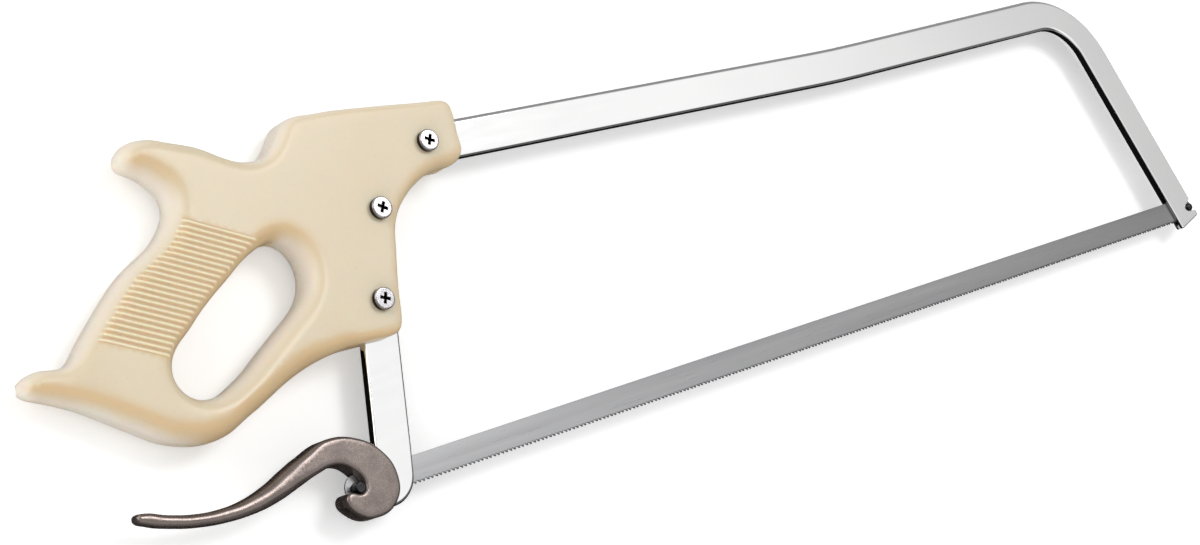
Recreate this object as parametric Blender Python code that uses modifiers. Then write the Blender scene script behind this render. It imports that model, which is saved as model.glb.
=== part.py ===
"""Butcher saw lying flat: bent bar frame, moulded handle, toothed blade and tension lever."""

import math

import bmesh
import bpy
from mathutils import Vector

MM = 0.001

# Bar of the frame. The blade axis is y = 0 and the rear arm crosses it at x = 0.
BAR_WIDTH = 19.05 * MM
BAR_THICKNESS = 5.2 * MM
BAR_EDGE_ROUND = 1.1 * MM
REAR_ARM_LEAN = math.radians(14.3)
REAR_ARM_RISE = 142.8 * MM
REAR_FOOT_DROP = 13.6 * MM
REAR_FOOT_ROUND = 15.0 * MM
RAIL_REAR_SLOPE = math.radians(-1.67)
RAIL_REAR_LENGTH = 311.7 * MM
RAIL_FRONT_SLOPE = math.radians(0.48)
RAIL_FRONT_LENGTH = 202.2 * MM
RAIL_KINK_RADIUS = 900.0 * MM
FRONT_ARM_LEAN = math.radians(16.5)
FRONT_ARM_LENGTH = 150.3 * MM
FRONT_FOOT_ROUND = 1.6 * MM
REAR_BEND_INNER = 12.0 * MM
REAR_BEND_OUTER = 34.0 * MM
FRONT_BEND_INNER = 29.0 * MM
FRONT_BEND_OUTER = 57.0 * MM
BLADE_SLOT_SPAN = 3 * BAR_WIDTH

# Blade and its two cross pins.
BLADE_WIDTH = 12.7 * MM
BLADE_THICKNESS = 0.8 * MM
BLADE_END_REACH = 5.2 * MM
TOOTH_PITCH = 2.4 * MM
TOOTH_DEPTH = 1.2 * MM
TOOTH_LEAN = 0.7
TOOTHLESS_END = 9.0 * MM
PIN_DIAMETER = 4.76 * MM
PIN_CHAMFER = 0.4 * MM
FRONT_PIN_LENGTH = 8.6 * MM
FRONT_PIN_AHEAD = 5.0 * MM
REAR_PIN_LENGTH = 11.2 * MM
REAR_PIN_SETBACK = 21.3 * MM
NOTCH_FLARE = math.radians(38.0)

# Tension lever, outline measured from the rear pin.
LEVER_THICKNESS = 12.0 * MM
LEVER_EDGE_ROUND = 1.7 * MM
LEVER_TIP_THICKNESS = 7.0 * MM
LEVER_TAPER_START = 22.0 * MM
LEVER_TAPER_END = 105.0 * MM
LEVER_SWING = math.radians(80.0)
BLADE_RELEASE = 4.0 * MM
GROOVE_REACH = 70.0 * MM
LEVER_OUTLINE = (
    (-100.8, 18.2), (-90.0, 13.9), (-66.5, 9.5), (-42.3, 14.4), (-23.6, 21.4), (-8.0, 24.2),
    (5.6, 21.0), (15.6, 12.4), (19.4, 0.5), (15.3, -9.9), (3.2, -13.8), (-7.1, -8.6),
    (-9.1, -3.4), (-6.4, -0.9), (0.2, -2.6), (2.6, 0.6), (0.2, 7.6), (-6.8, 12.6),
    (-17.5, 11.7), (-39.0, 5.4), (-62.0, 4.0), (-89.0, 9.0), (-102.4, 14.2), (-105.0, 17.4),
)

# Handle, outlines measured from the rear corner of the bar's middle line.
HANDLE_THICKNESS = 22.0 * MM
HANDLE_EDGE_ROUND = 3.3 * MM
HANDLE_OUTLINE = (
    (-36.5, 23.5), (-22.0, 23.2), (8.0, 20.6), (43.0, 18.0), (50.2, 15.3), (52.7, 8.8), (51.4, -2.0),
    (49.4, -9.2), (44.6, -13.2), (24.6, -16.6), (9.4, -24.0), (2.0, -34.6), (-2.4, -46.6),
    (-8.0, -65.9), (-11.0, -77.4), (-16.4, -82.4), (-30.0, -80.4), (-48.0, -80.4), (-68.0, -85.8),
    (-96.5, -99.4), (-115.3, -103.6), (-134.3, -98.6), (-152.3, -85.6), (-170.0, -74.2),
    (-186.5, -65.2), (-191.6, -59.9), (-186.2, -56.6), (-171.0, -58.2), (-159.5, -49.8),
    (-138.0, -27.2), (-109.8, -11.4), (-102.6, 0.0), (-110.8, 11.8), (-119.6, 19.6), (-116.6, 25.4),
    (-107.5, 27.2), (-85.0, 19.6), (-62.5, 8.6), (-50.0, 12.4),
)
HOLE_OUTLINE = (
    (-113.3, -86.4), (-123.8, -82.1), (-129.5, -72.6), (-125.8, -61.1), (-108.3, -48.3),
    (-92.3, -35.6), (-74.3, -26.4), (-57.3, -25.8), (-46.8, -34.1), (-45.8, -46.6),
    (-55.8, -58.8), (-76.3, -71.1), (-98.3, -83.8),
)
RIB_COUNT = 23
RIB_LENGTH = 20.0 * MM
RIB_WIDTH = 1.5 * MM
RIB_HEIGHT = 0.6 * MM
RIB_ROOT = 0.8 * MM
RIB_TILT = math.radians(-27.0)
RIB_FIRST = (-88.4, -18.6)
RIB_LAST = (-141.0, -57.2)

# Handle screws: a screw from the front meets a barrel nut from the back.
SCREW_PLACES = ((30.7, -1.2), (-6.0, -26.4), (-20.2, -66.4))
SCREW_HEAD_DIAMETER = 10.4 * MM
SCREW_HEAD_HEIGHT = 3.0 * MM
SCREW_HEAD_CHAMFER = 0.5 * MM
SCREW_SHANK_DIAMETER = 3.8 * MM
SCREW_SHANK_LENGTH = 15.5 * MM
CROSS_SPAN = 5.6 * MM
CROSS_WIDTH = 1.3 * MM
CROSS_DEPTH = 1.7 * MM
CROSS_TURN = math.radians(60.0)
NUT_HEAD_DIAMETER = 11.0 * MM
NUT_HEAD_HEIGHT = 2.2 * MM
NUT_BARREL_DIAMETER = 6.2 * MM
NUT_BARREL_SHORT = 2.0 * MM

# Gap left between pieces that touch on the real saw, and slack of the sliding fits.
CLEARANCE = 0.3 * MM
SLIDE_SLACK = 0.4 * MM
CUT_PAST = 3.0 * MM

# Fineness of the facets.
ARC_STEP = math.radians(7.5)
TURN_STEPS = 24
CURVE_STEPS = 5
EDGE_STEPS = 2
WELD_DISTANCE = 0.002 * MM

CHROME = ((0.78, 0.79, 0.80), 0.12, 1.0)
BLADE_STEEL = ((0.46, 0.46, 0.47), 0.38, 1.0)
PIN_STEEL = ((0.20, 0.20, 0.21), 0.40, 1.0)
CAST_METAL = ((0.34, 0.29, 0.26), 0.45, 0.9)
IVORY_PLASTIC = ((0.80, 0.66, 0.45), 0.42, 0.0)
SCREW_STEEL = ((0.72, 0.72, 0.73), 0.22, 1.0)


def clear_scene():
    for thing in list(bpy.data.objects):
        bpy.data.objects.remove(thing, do_unlink=True)


def new_collection(name):
    collection = bpy.data.collections.new(name)
    bpy.context.scene.collection.children.link(collection)
    return collection


def new_material(name, finish):
    colour, roughness, metallic = finish
    material = bpy.data.materials.new(name)
    material.use_nodes = True
    shader = material.node_tree.nodes["Principled BSDF"]
    shader.inputs["Base Color"].default_value = (*colour, 1.0)
    shader.inputs["Roughness"].default_value = roughness
    shader.inputs["Metallic"].default_value = metallic
    return material


def in_metres(points, start):
    """Outline points in millimetres from a start point, as points in the saw's plane."""
    return [start + Vector(point) * MM for point in points]


def left_of(direction):
    return Vector((-direction.y, direction.x))


def heading(angle):
    return Vector((math.cos(angle), math.sin(angle)))


def meet(point_a, along_a, point_b, along_b):
    """Crossing of two lines in the plane."""
    reach = (point_b - point_a).cross(along_b) / along_a.cross(along_b)
    return point_a + along_a * reach


def offset_path(points, distance):
    """Open path moved to its left by a distance, with mitred corners."""
    runs = [(b - a).normalized() for a, b in zip(points, points[1:])]
    moved = [points[0] + left_of(runs[0]) * distance]
    for corner, before, after in zip(points[1:], runs, runs[1:]):
        moved.append(meet(corner + left_of(before) * distance, before,
                          corner + left_of(after) * distance, after))
    moved.append(points[-1] + left_of(runs[-1]) * distance)
    return moved


def fillet(points, radii):
    """Closed outline with each corner replaced by an arc of its own radius."""
    rounded = []
    for index, radius in enumerate(radii):
        corner = points[index]
        back = (points[index - 1] - corner).normalized()
        ahead = (points[(index + 1) % len(points)] - corner).normalized()
        half = back.angle(ahead) / 2
        middle = corner + (back + ahead).normalized() * (radius / math.sin(half))
        start = corner + back * (radius / math.tan(half)) - middle
        turn = math.pi - 2 * half
        if back.cross(ahead) > 0:
            turn = -turn
        steps = max(2, math.ceil(abs(turn) / ARC_STEP))
        for step in range(steps + 1):
            spin = turn * step / steps
            rounded.append(middle + Vector((
                start.x * math.cos(spin) - start.y * math.sin(spin),
                start.x * math.sin(spin) + start.y * math.cos(spin))))
    return rounded


def arc(centre, radius, start, end):
    steps = max(2, math.ceil(abs(end - start) / ARC_STEP))
    return [centre + heading(start + (end - start) * step / steps) * radius
            for step in range(steps + 1)]


def add_poly_loop(curve, points):
    spline = curve.splines.new("POLY")
    spline.points.add(len(points) - 1)
    for knot, point in zip(spline.points, points):
        knot.co = (point.x, point.y, 0.0, 1.0)
    spline.use_cyclic_u = True


def add_smooth_loop(curve, points):
    spline = curve.splines.new("BEZIER")
    spline.bezier_points.add(len(points) - 1)
    for knot, point in zip(spline.bezier_points, points):
        knot.co = (point.x, point.y, 0.0)
        knot.handle_left_type = "AUTO"
        knot.handle_right_type = "AUTO"
    spline.resolution_u = CURVE_STEPS
    spline.use_cyclic_u = True


def flat_solid(name, thickness, edge_round, poly_loops=(), smooth_loops=()):
    """Plate of one thickness cut to closed loops, with rounded rims, as a mesh object."""
    curve = bpy.data.curves.new(name + "_outline", "CURVE")
    curve.dimensions = "2D"
    curve.fill_mode = "BOTH"
    curve.extrude = thickness / 2 - edge_round
    curve.bevel_depth = edge_round
    curve.bevel_resolution = EDGE_STEPS
    curve.offset = -edge_round
    for loop in poly_loops:
        add_poly_loop(curve, loop)
    for loop in smooth_loops:
        add_smooth_loop(curve, loop)
    outline = bpy.data.objects.new(name + "_outline", curve)
    bpy.context.scene.collection.objects.link(outline)
    bpy.context.view_layer.update()
    evaluated = outline.evaluated_get(bpy.context.evaluated_depsgraph_get())
    mesh = bpy.data.meshes.new_from_object(evaluated)
    bpy.data.objects.remove(outline, do_unlink=True)
    bpy.data.curves.remove(curve)
    weld(mesh)
    mesh.name = name
    return bpy.data.objects.new(name, mesh)


def weld(mesh):
    shape = bmesh.new()
    shape.from_mesh(mesh)
    bmesh.ops.remove_doubles(shape, verts=shape.verts, dist=WELD_DISTANCE)
    bmesh.ops.recalc_face_normals(shape, faces=shape.faces)
    shape.to_mesh(mesh)
    shape.free()


def turned_solid(name, profile, centre):
    """Solid of revolution about an axis square to the saw, from a profile of (radius, height)."""
    mesh = bpy.data.meshes.new(name)
    points = [(radius, 0.0, height) for radius, height in profile]
    edges = [(index, index + 1) for index in range(len(points) - 1)]
    if profile[0][0] > 0:
        edges.append((len(points) - 1, 0))
    mesh.from_pydata(points, edges, [])
    solid = bpy.data.objects.new(name, mesh)
    solid.location = (centre.x, centre.y, 0.0)
    screw = solid.modifiers.new("Turn", "SCREW")
    screw.axis = "Z"
    screw.angle = math.tau
    screw.steps = TURN_STEPS
    screw.render_steps = TURN_STEPS
    screw.use_merge_vertices = True
    screw.merge_threshold = WELD_DISTANCE
    return solid


def box(name, centre, size, turn=0.0):
    mesh = bpy.data.meshes.new(name)
    shape = bmesh.new()
    bmesh.ops.create_cube(shape, size=1.0)
    bmesh.ops.scale(shape, vec=size, verts=shape.verts)
    shape.to_mesh(mesh)
    shape.free()
    solid = bpy.data.objects.new(name, mesh)
    solid.location = centre
    solid.rotation_euler = (0.0, 0.0, turn)
    return solid


class Saw:
    """Collections, the placing empty and the helpers that add pieces to them."""

    def __init__(self):
        self.parts = new_collection("butcher_saw")
        self.cutters = new_collection("cutters")
        self.base = bpy.data.objects.new("saw_place", None)
        self.parts.objects.link(self.base)

    def add(self, solid, finish):
        self.parts.objects.link(solid)
        solid.parent = self.base
        solid.data.materials.append(new_material(solid.name + "_finish", finish))
        return solid

    def cut(self, target, cutter, operation="DIFFERENCE"):
        if cutter.name not in self.cutters.objects:
            self.cutters.objects.link(cutter)
            cutter.parent = self.base
            cutter.display_type = "WIRE"
            cutter.hide_render = True
        boolean = target.modifiers.new(cutter.name, "BOOLEAN")
        boolean.operation = operation
        boolean.solver = "EXACT"
        boolean.object = cutter

    def stand_on_floor(self):
        """Move the whole saw so that the middle of its underside is the origin."""
        bpy.context.view_layer.update()
        graph = bpy.context.evaluated_depsgraph_get()
        corners = []
        for solid in self.parts.objects:
            if solid.type == "MESH":
                evaluated = solid.evaluated_get(graph)
                corners += [evaluated.matrix_world @ vertex.co for vertex in evaluated.data.vertices]
        low = [min(corner[axis] for corner in corners) for axis in range(3)]
        high = [max(corner[axis] for corner in corners) for axis in range(3)]
        self.base.location = (-(low[0] + high[0]) / 2, -(low[1] + high[1]) / 2, -low[2])


def spine_points():
    """Middle line of the bar: rear foot, rear corner, kink, front corner, front foot."""
    rear_up = heading(math.pi / 2 - REAR_ARM_LEAN)
    crossing = Vector((0.0, 0.0))
    rear_corner = crossing + rear_up * (REAR_ARM_RISE / rear_up.y)
    rear_foot = crossing - rear_up * (REAR_FOOT_DROP / rear_up.y)
    kink = rear_corner + heading(RAIL_REAR_SLOPE) * RAIL_REAR_LENGTH
    front_corner = kink + heading(RAIL_FRONT_SLOPE) * RAIL_FRONT_LENGTH
    front_foot = front_corner + heading(FRONT_ARM_LEAN - math.pi / 2) * FRONT_ARM_LENGTH
    return [rear_foot, rear_corner, kink, front_corner, front_foot]


def rear_pin_place():
    return Vector((-REAR_PIN_SETBACK, 0.0))


def front_pin_place(spine):
    front_corner, front_foot = spine[3], spine[4]
    along = front_foot - front_corner
    crossing = front_corner - along * (front_corner.y / along.y)
    return crossing + Vector((FRONT_PIN_AHEAD, 0.0))


def screw_places(spine):
    return in_metres(SCREW_PLACES, spine[1])


def make_frame(saw, spine):
    outer = offset_path(spine, BAR_WIDTH / 2)
    inner = offset_path(spine, -BAR_WIDTH / 2)
    half = BAR_WIDTH / 2
    corners = outer + inner[::-1]
    radii = [
        FRONT_FOOT_ROUND, REAR_BEND_OUTER, RAIL_KINK_RADIUS + half, FRONT_BEND_OUTER, FRONT_FOOT_ROUND,
        FRONT_FOOT_ROUND, FRONT_BEND_INNER, RAIL_KINK_RADIUS - half, REAR_BEND_INNER, REAR_FOOT_ROUND,
    ]
    bar = flat_solid("frame_bar", BAR_THICKNESS, BAR_EDGE_ROUND, poly_loops=[fillet(corners, radii)])
    saw.add(bar, CHROME)
    for label, foot in (("rear", spine[0]), ("front", spine[4])):
        saw.cut(bar, blade_slot("blade_slot_" + label, foot))
    saw.cut(bar, front_notch(front_pin_place(spine)))
    return bar


def blade_slot(name, foot):
    """Slot sawn up the middle of an arm from its foot, for the blade."""
    top = BLADE_WIDTH / 2 + SLIDE_SLACK
    bottom = foot.y - BAR_WIDTH
    size = (BLADE_SLOT_SPAN, top - bottom, BLADE_THICKNESS + 2 * CLEARANCE)
    return box(name, (foot.x, (top + bottom) / 2, 0.0), size)


def front_notch(pin):
    """Flared notch in the front edge of the front arm, with a round seat for the pin."""
    radius = PIN_DIAMETER / 2 + CLEARANCE
    loop = arc(pin, radius, math.pi / 2 + NOTCH_FLARE, 3 * math.pi / 2)
    loop.append(pin + Vector((BAR_WIDTH, -radius)))
    loop.append(pin + heading(NOTCH_FLARE) * BAR_WIDTH + left_of(heading(NOTCH_FLARE)) * radius)
    return flat_solid("front_notch", BAR_THICKNESS + 2 * CUT_PAST, 0.0, poly_loops=[loop])


def blade_loop(rear_pin, front_pin):
    """Blade outline: round ends about the pins and a row of teeth along the lower edge."""
    half = BLADE_WIDTH / 2
    rear = rear_pin + Vector((half - BLADE_END_REACH, 0.0))
    front = front_pin + Vector((BLADE_END_REACH - half, 0.0))
    loop = arc(rear, half, math.pi / 2, 3 * math.pi / 2)
    start = rear.x + TOOTHLESS_END
    count = int((front.x - TOOTHLESS_END - start) / TOOTH_PITCH)
    for tooth in range(count):
        loop.append(Vector((start + tooth * TOOTH_PITCH, -half + TOOTH_DEPTH)))
        loop.append(Vector((start + (tooth + TOOTH_LEAN) * TOOTH_PITCH, -half)))
    loop.append(Vector((start + count * TOOTH_PITCH, -half + TOOTH_DEPTH)))
    loop += arc(front, half, -math.pi / 2, math.pi / 2)
    return loop


def make_blade(saw, spine):
    rear_pin = rear_pin_place()
    front_pin = front_pin_place(spine)
    hole_radius = PIN_DIAMETER / 2 + CLEARANCE
    loops = [blade_loop(rear_pin, front_pin)]
    loops += [arc(pin, hole_radius, math.tau, ARC_STEP) for pin in (rear_pin, front_pin)]
    blade = flat_solid("saw_blade", BLADE_THICKNESS, 0.0, poly_loops=loops)
    saw.add(blade, BLADE_STEEL)
    for name, pin, length in (("blade_pin_rear", rear_pin, REAR_PIN_LENGTH),
                              ("blade_pin_front", front_pin, FRONT_PIN_LENGTH)):
        saw.add(turned_solid(name, pin_profile(length), pin), PIN_STEEL)


def pin_profile(length):
    radius = PIN_DIAMETER / 2
    half = length / 2
    return [(0.0, half), (radius - PIN_CHAMFER, half), (radius, half - PIN_CHAMFER),
            (radius, PIN_CHAMFER - half), (radius - PIN_CHAMFER, -half), (0.0, -half)]


def make_lever(saw):
    pin = rear_pin_place()
    lever = flat_solid("tension_lever", LEVER_THICKNESS, LEVER_EDGE_ROUND,
                       smooth_loops=[in_metres(LEVER_OUTLINE, pin)])
    saw.add(lever, CAST_METAL)
    saw.cut(lever, arm_groove(pin))
    saw.cut(lever, blade_slit(pin))
    for side in (1, -1):
        saw.cut(lever, lever_taper(pin, side))
    seat = [(0.0, LEVER_THICKNESS), (PIN_DIAMETER / 2 + CLEARANCE, LEVER_THICKNESS),
            (PIN_DIAMETER / 2 + CLEARANCE, -LEVER_THICKNESS), (0.0, -LEVER_THICKNESS)]
    saw.cut(lever, turned_solid("pin_seat", seat, pin))
    set_origin(lever, pin)


def arm_groove(pin):
    """Groove that lets the cheeks straddle the rear arm. Its floor is the cam: the distance
    from the pin to the arm falls steadily as the lever opens, so the floor is an involute."""
    edge_up = heading(math.pi / 2 - REAR_ARM_LEAN)
    facing = -REAR_ARM_LEAN
    reach = REAR_PIN_SETBACK * math.cos(REAR_ARM_LEAN) - BAR_WIDTH / 2 - CLEARANCE
    fall = BLADE_RELEASE * math.cos(REAR_ARM_LEAN) / LEVER_SWING
    steps = math.ceil(LEVER_SWING / ARC_STEP)
    floor = []
    for step in range(steps + 1):
        opened = LEVER_SWING * step / steps
        normal = heading(facing - opened)
        floor.append(pin + normal * (reach - fall * opened) + left_of(normal) * fall)
    last_run = -left_of(heading(facing - LEVER_SWING))
    loop = [floor[0] + edge_up * GROOVE_REACH] + floor + [floor[-1] + last_run * GROOVE_REACH]
    loop.append(loop[-1] - edge_up * GROOVE_REACH)
    loop.append(pin + heading(facing - LEVER_SWING / 2) * 2 * GROOVE_REACH)
    loop.append(loop[0] + heading(facing) * GROOVE_REACH)
    return flat_solid("arm_groove", BAR_THICKNESS + 2 * SLIDE_SLACK, 0.0, poly_loops=[loop])


def blade_slit(pin):
    """Thin slit in the middle of the lever's head, swept by the blade as the lever turns."""
    half = BLADE_WIDTH / 2 + SLIDE_SLACK
    swept = heading(-LEVER_SWING)
    loop = arc(pin, half, math.pi / 2, 3 * math.pi / 2 - LEVER_SWING)
    loop.append(loop[-1] + swept * GROOVE_REACH)
    loop += arc(pin, GROOVE_REACH, -LEVER_SWING, 0.0)
    loop.append(pin + Vector((GROOVE_REACH, half)))
    return flat_solid("blade_slit", BLADE_THICKNESS + 2 * SLIDE_SLACK, 0.0, poly_loops=[loop])


def lever_taper(pin, side):
    """Wedge that thins one face of the lever from its head to its tip."""
    run = LEVER_TAPER_END - LEVER_TAPER_START
    slope = math.atan2((LEVER_THICKNESS - LEVER_TIP_THICKNESS) / 2, run)
    length = 2 * LEVER_TAPER_END
    start = Vector((pin.x - LEVER_TAPER_START, pin.y, side * LEVER_THICKNESS / 2))
    along = Vector((-math.cos(slope), 0.0, -side * math.sin(slope)))
    outward = Vector((-math.sin(slope), 0.0, side * math.cos(slope)))
    middle = start + along * (length / 2) + outward * (LEVER_THICKNESS / 2)
    wedge = box("lever_taper_%s" % ("front" if side > 0 else "back"), middle,
                (length, length, LEVER_THICKNESS))
    wedge.rotation_euler = (0.0, -side * slope, 0.0)
    return wedge


def set_origin(solid, place):
    for vertex in solid.data.vertices:
        vertex.co -= Vector((place.x, place.y, 0.0))
    solid.location = (place.x, place.y, 0.0)


def make_handle(saw, bar, spine):
    corner = spine[1]
    handle = flat_solid("handle", HANDLE_THICKNESS, HANDLE_EDGE_ROUND,
                        smooth_loops=[in_metres(HANDLE_OUTLINE, corner), in_metres(HOLE_OUTLINE, corner)])
    saw.add(handle, IVORY_PLASTIC)
    saw.cut(handle, bar_slot(spine))
    saw.cut(handle, grip_ribs(corner), "UNION")
    for index, place in enumerate(screw_places(spine), 1):
        radius = NUT_BARREL_DIAMETER / 2 + CLEARANCE
        profile = [(0.0, HANDLE_THICKNESS), (radius, HANDLE_THICKNESS),
                   (radius, -HANDLE_THICKNESS), (0.0, -HANDLE_THICKNESS)]
        bore = turned_solid("screw_bore_%d" % index, profile, place)
        saw.cut(handle, bore)
        saw.cut(bar, bore)


def bar_slot(spine):
    """Slot in the handle that takes the bar's bend and is open on the blade side."""
    grown = BAR_WIDTH / 2 + CLEARANCE
    outer = offset_path(spine[:3], grown)
    inner = offset_path(spine[:3], -grown - BAR_WIDTH)
    radii = [CLEARANCE, REAR_BEND_OUTER + CLEARANCE, CLEARANCE, CLEARANCE, REAR_BEND_INNER, CLEARANCE]
    loop = fillet(outer + inner[::-1], radii)
    return flat_solid("bar_slot", BAR_THICKNESS + 2 * CLEARANCE, 0.0, poly_loops=[loop])


def grip_ribs(corner):
    """Rows of low ribs across both faces of the grip, as one joining mesh."""
    first, last = in_metres((RIB_FIRST, RIB_LAST), corner)
    depth = RIB_HEIGHT + RIB_ROOT
    height = HANDLE_THICKNESS / 2 + RIB_HEIGHT - depth / 2
    rows = bmesh.new()
    for row in range(RIB_COUNT):
        place = first.lerp(last, row / (RIB_COUNT - 1))
        for side in (1, -1):
            rib = box("rib", (0.0, 0.0, 0.0), (RIB_LENGTH, RIB_WIDTH, depth))
            rib.rotation_euler = (0.0, 0.0, RIB_TILT)
            rib.location = (place.x, place.y, side * height)
            rib.data.transform(rib.matrix_basis)
            rows.from_mesh(rib.data)
            bpy.data.objects.remove(rib, do_unlink=True)
    mesh = bpy.data.meshes.new("grip_ribs")
    rows.to_mesh(mesh)
    rows.free()
    return bpy.data.objects.new("grip_ribs", mesh)


def make_fasteners(saw, spine):
    top = HANDLE_THICKNESS / 2 + CLEARANCE
    for index, place in enumerate(screw_places(spine), 1):
        screw = turned_solid("handle_screw_%d" % index, screw_profile(top), place)
        saw.add(screw, SCREW_STEEL)
        for arm in (0, 1):
            cross = box("cross_%d_%d" % (index, arm), (place.x, place.y, top + SCREW_HEAD_HEIGHT),
                        (CROSS_SPAN, CROSS_WIDTH, 2 * CROSS_DEPTH), CROSS_TURN + arm * math.pi / 2)
            saw.cut(screw, cross)
        saw.add(turned_solid("barrel_nut_%d" % index, nut_profile(), place), SCREW_STEEL)


def screw_profile(seat):
    head = SCREW_HEAD_DIAMETER / 2
    shank = SCREW_SHANK_DIAMETER / 2
    face = seat + SCREW_HEAD_HEIGHT
    tip = seat - SCREW_SHANK_LENGTH
    return [(0.0, face), (head - SCREW_HEAD_CHAMFER, face), (head, face - SCREW_HEAD_CHAMFER),
            (head, seat), (shank, seat), (shank, tip), (0.0, tip)]


def nut_profile():
    """Barrel nut: a head on the back of the handle and a sleeve that takes the screw's shank."""
    back = -HANDLE_THICKNESS / 2 - CLEARANCE
    end = HANDLE_THICKNESS / 2 - NUT_BARREL_SHORT
    bore = SCREW_SHANK_DIAMETER / 2 + CLEARANCE
    barrel = NUT_BARREL_DIAMETER / 2
    head = NUT_HEAD_DIAMETER / 2
    floor = HANDLE_THICKNESS / 2 - SCREW_SHANK_LENGTH - NUT_BARREL_SHORT
    return [(0.0, floor), (bore, floor), (bore, end), (barrel, end), (barrel, back), (head, back),
            (head, back - NUT_HEAD_HEIGHT + SCREW_HEAD_CHAMFER),
            (head - SCREW_HEAD_CHAMFER, back - NUT_HEAD_HEIGHT), (0.0, back - NUT_HEAD_HEIGHT)]


def main():
    clear_scene()
    saw = Saw()
    spine = spine_points()
    bar = make_frame(saw, spine)
    make_handle(saw, bar, spine)
    make_blade(saw, spine)
    make_lever(saw)
    make_fasteners(saw, spine)
    saw.stand_on_floor()


main()
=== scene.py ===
import math

import bpy
import numpy as np
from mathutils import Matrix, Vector
from mathutils.geometry import delaunay_2d_cdt


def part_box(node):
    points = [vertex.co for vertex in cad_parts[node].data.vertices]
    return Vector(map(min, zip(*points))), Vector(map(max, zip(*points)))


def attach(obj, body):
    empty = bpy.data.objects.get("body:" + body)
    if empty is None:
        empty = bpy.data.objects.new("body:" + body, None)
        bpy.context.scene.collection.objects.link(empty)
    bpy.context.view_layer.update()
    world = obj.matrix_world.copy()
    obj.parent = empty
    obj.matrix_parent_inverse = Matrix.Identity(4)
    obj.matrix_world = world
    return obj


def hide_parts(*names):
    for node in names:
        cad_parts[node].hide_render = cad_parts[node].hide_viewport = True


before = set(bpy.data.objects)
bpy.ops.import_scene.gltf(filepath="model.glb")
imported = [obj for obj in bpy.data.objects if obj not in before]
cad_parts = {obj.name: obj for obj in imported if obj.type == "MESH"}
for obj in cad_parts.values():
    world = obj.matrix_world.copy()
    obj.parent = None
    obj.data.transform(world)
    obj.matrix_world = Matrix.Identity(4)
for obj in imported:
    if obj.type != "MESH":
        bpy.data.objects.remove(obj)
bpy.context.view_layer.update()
mm = 0.001

# every size below is in millimetres, measured from where the rear arm crosses the blade's line
rearPin = {"x": -21.3, "y": 0.0}
frontPin = {"x": 595.27, "y": 0.0}
pinLow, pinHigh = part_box("blade_pin_rear")
sawOrigin = (pinLow + pinHigh) / 2 - Vector((rearPin["x"], rearPin["y"], 0)) * mm


def sawPoint(x, y, z=0.0):
    return sawOrigin + Vector((x, y, z)) * mm


def deselectAll():
    if bpy.context.object and bpy.context.object.mode != "OBJECT":
        bpy.ops.object.mode_set(mode="OBJECT")
    bpy.ops.object.select_all(action="DESELECT")


def makeActive(piece):
    deselectAll()
    piece.select_set(True)
    bpy.context.view_layer.objects.active = piece


# outlines

def arcPoints(x, y, radius, start, end, step=5.0):
    count = max(2, math.ceil(abs(end - start) / step))
    angles = [math.radians(start + (end - start) * n / count) for n in range(count + 1)]
    return [(x + radius * math.cos(a), y + radius * math.sin(a)) for a in angles]


def offsetLine(points, distance):
    # moves an open line to its left, corners mitred
    line = [Vector(p) for p in points]
    runs = [(b - a).normalized() for a, b in zip(line, line[1:])]
    sides = [Vector((-r.y, r.x)) * distance for r in runs]
    moved = [line[0] + sides[0]]
    for n in range(1, len(line) - 1):
        before, after = runs[n - 1], runs[n]
        start, stop = line[n] + sides[n - 1], line[n] + sides[n]
        moved.append(start + before * ((stop - start).cross(after) / before.cross(after)))
    moved.append(line[-1] + sides[-1])
    return moved


def roundCorners(corners, radii, step=3.0):
    rounded = []
    for n, radius in enumerate(radii):
        corner = corners[n]
        back = (corners[n - 1] - corner).normalized()
        ahead = (corners[(n + 1) % len(corners)] - corner).normalized()
        half = back.angle(ahead) / 2
        middle = corner + (back + ahead).normalized() * (radius / math.sin(half))
        spoke = corner + back * (radius / math.tan(half)) - middle
        turn = (math.pi - 2 * half) * (-1 if back.cross(ahead) > 0 else 1)
        count = max(2, math.ceil(math.degrees(abs(turn)) / step))
        for k in range(count + 1):
            c, s = math.cos(turn * k / count), math.sin(turn * k / count)
            rounded.append((middle.x + spoke.x * c - spoke.y * s, middle.y + spoke.x * s + spoke.y * c))
    return rounded


def splitLong(points, longest):
    # extra points along the long straight runs
    result = []
    for a, b in zip(points, points[1:] + points[:1]):
        steps = max(1, math.ceil(math.dist(a, b) / longest))
        across, up = b[0] - a[0], b[1] - a[1]
        result += [(a[0] + across * n / steps, a[1] + up * n / steps) for n in range(steps)]
    return result


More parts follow.
